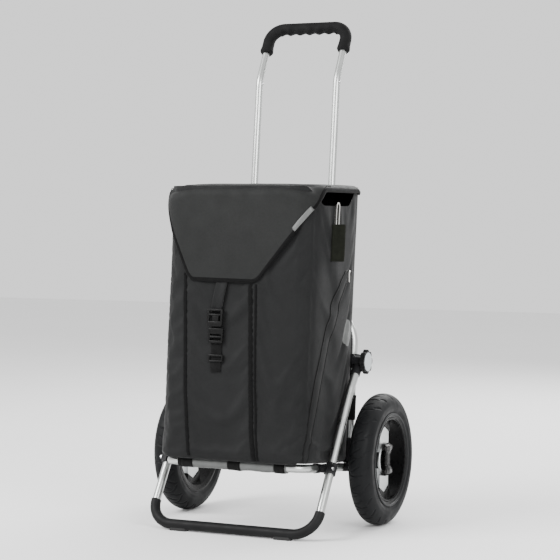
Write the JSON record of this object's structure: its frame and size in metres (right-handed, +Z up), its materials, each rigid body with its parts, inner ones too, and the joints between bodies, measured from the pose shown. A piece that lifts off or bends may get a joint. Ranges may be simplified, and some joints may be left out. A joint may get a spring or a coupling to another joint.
{
  "type": "hand truck",
  "caption": "Two-wheeled shopping hand truck with a leaning tube frame, fold-up platform and stand, telescopic handle and a removable flap-top bag.",
  "frame": {"origin": "on the floor, at the middle of the overall box", "axes": "+X right along the axle, +Y to the back where the handle is, +Z up"},
  "size_m": [0.529, 0.4262, 1.127],
  "materials": {
    "alu_tube": "satin anodised",
    "steel_rod": "zinc plated",
    "black_casting": "moulded, fine grain",
    "bush_plastic": "moulded",
    "foam_grip": "soft foam",
    "foot_plastic": "extruded sleeve",
    "pad_rubber": "matt",
    "knob_plastic": "moulded, fine grain",
    "knob_grey": "smooth",
    "tyre_rubber": "tread and ribbed sidewall",
    "rim_black": "moulded",
    "spoke_silver": "silver lacquer",
    "bag_cloth": "coated polyester",
    "board_plastic": "sheet",
    "webbing": "woven strap",
    "buckle_plastic": "moulded",
    "hook_chrome": "bright plating",
    "zip_metal": "dark plating",
    "bar_cloth": "reflective cloth"
  },
  "bodies": {
    "frame": {"outer_tube_left": "alu_tube", "outer_tube_right": "alu_tube", "tube_bushes": "bush_plastic", "cross_bar_upper": "alu_tube", "cross_bar_lower": "alu_tube", "axle": "steel_rod", "axle_casting_left": "black_casting", "axle_casting_right": "black_casting", "pivot_bracket_left": "black_casting", "pivot_bracket_right": "black_casting", "hinge_pins": "steel_rod", "bag_shell": "bag_cloth", "bag_board": "board_plastic", "bag_hangers": "webbing", "side_pocket": "bag_cloth", "zip_slider": "zip_metal", "front_strap": "buckle_plastic"},
    "handle": {"handle_tube": "alu_tube", "handle_grip": "foam_grip"},
    "snap_button_left": {"snap_button_left": "steel_rod"},
    "snap_button_right": {"snap_button_right": "steel_rod"},
    "stand": {"stand_tube": "alu_tube", "foot_sleeve": "foot_plastic", "foot_pads": "pad_rubber", "stand_knuckle_left": "black_casting", "stand_knuckle_right": "black_casting"},
    "platform": {"platform_tube": "alu_tube", "platform_sleeve": "bar_cloth", "hinge_eye_left": "black_casting", "arm_collar_left": "black_casting", "hinge_eye_right": "black_casting", "arm_collar_right": "black_casting"},
    "flap": {"flap_panel": "bag_cloth", "flap_strap": "buckle_plastic"},
    "zip_pull": {"zip_pull": "zip_metal"},
    "snap_hook": {"snap_hook": "hook_chrome"},
    "hook_gate": {"hook_gate": "hook_chrome"},
    "clamp_left": {"leg_clamp_left": "black_casting", "clamp_bolt_left": "steel_rod"},
    "knob_left": {"clamp_knob_left": "knob_plastic", "knob_face_left": "knob_grey", "knob_stud_left": "steel_rod"},
    "wheel_left": {"tyre_left": "tyre_rubber", "rim_left": "rim_black", "spokes_left": "spoke_silver", "hub_left": "rim_black", "wheel_bearing_left": "steel_rod", "hub_cap_left": "rim_black"},
    "clamp_right": {"leg_clamp_right": "black_casting", "clamp_bolt_right": "steel_rod"},
    "knob_right": {"clamp_knob_right": "knob_plastic", "knob_face_right": "knob_grey", "knob_stud_right": "steel_rod"},
    "wheel_right": {"tyre_right": "tyre_rubber", "rim_right": "rim_black", "spokes_right": "spoke_silver", "hub_right": "rim_black", "wheel_bearing_right": "steel_rod", "hub_cap_right": "rim_black"}
  },
  "joints": [
    {"name": "handle_height", "type": "slide", "parent": "frame", "child": "handle", "axis": [0, 0.1028, 0.9947], "range_m": [-0.19, 0]},
    {"name": "platform_fold", "type": "hinge", "parent": "frame", "child": "platform", "pos_m": [0, 0.02253, 0.12799], "axis": [-1, 0, 0], "range_deg": [0, 80], "deforming": ["bag_shell", "bag_board", "side_pocket"]},
    {"name": "stand_fold", "type": "hinge", "parent": "frame", "child": "stand", "pos_m": [0, 0.0395, 0.361], "axis": [1, 0, 0], "range_deg": [0, 23.58]},
    {"name": "flap_open", "type": "hinge", "parent": "frame", "child": "flap", "pos_m": [0, 0.09377, 0.7463], "axis": [-1, 0, 0], "range_deg": [0, 90]},
    {"name": "zip_pull_swing", "type": "hinge", "parent": "frame", "child": "zip_pull", "pos_m": [0.1859, -0.00188, 0.56009], "axis": [0, -1, 0], "range_deg": [0, 110]},
    {"name": "hook_swing", "type": "hinge", "parent": "frame", "child": "snap_hook", "pos_m": [0.186, -0.0755, 0.632], "axis": [1, 0, 0], "range_deg": [-35, 35]},
    {"name": "hook_gate_open", "type": "hinge", "parent": "snap_hook", "child": "hook_gate", "pos_m": [0.186, -0.07821, 0.6739], "axis": [-1, 0, 0], "range_deg": [0, 16], "stiffness_Nm_per_rad": 0.02, "springref_deg": -11.46},
    {"name": "clamp_slide_left", "type": "slide", "parent": "stand", "child": "clamp_left", "axis": [0, 0.5483, 0.8363], "range_m": [0, 0.17221]},
    {"name": "knob_turn_left", "type": "hinge", "parent": "frame", "child": "knob_left", "pos_m": [-0.195, 0.0395, 0.361], "axis": [-1, 0, 0], "continuous": true},
    {"name": "wheel_spin_left", "type": "hinge", "parent": "frame", "child": "wheel_left", "pos_m": [-0.237, 0.0675, 0.145], "axis": [1, 0, 0], "continuous": true},
    {"name": "snap_press_left", "type": "slide", "parent": "handle", "child": "snap_button_left", "axis": [-1, 0, 0], "range_m": [0, 0.0024], "stiffness_N_per_m": 250, "springref_m": -0.004},
    {"name": "clamp_slide_right", "type": "slide", "parent": "stand", "child": "clamp_right", "axis": [0, 0.5483, 0.8363], "range_m": [0, 0.17221]},
    {"name": "knob_turn_right", "type": "hinge", "parent": "frame", "child": "knob_right", "pos_m": [0.195, 0.0395, 0.361], "axis": [1, 0, 0], "continuous": true},
    {"name": "wheel_spin_right", "type": "hinge", "parent": "frame", "child": "wheel_right", "pos_m": [0.237, 0.0675, 0.145], "axis": [1, 0, 0], "continuous": true},
    {"name": "snap_press_right", "type": "slide", "parent": "handle", "child": "snap_button_right", "axis": [-1, 0, 0], "range_m": [0, 0.0024], "stiffness_N_per_m": 250, "springref_m": -0.004}
  ],
  "couplings": [
    {"joint": "stand_fold", "follows": "platform_fold", "ratio": 0.29414},
    {"joint": "clamp_slide_left", "follows": "platform_fold", "m_per_rad": 0.12319},
    {"joint": "clamp_slide_right", "follows": "platform_fold", "m_per_rad": 0.12319}
  ]
}
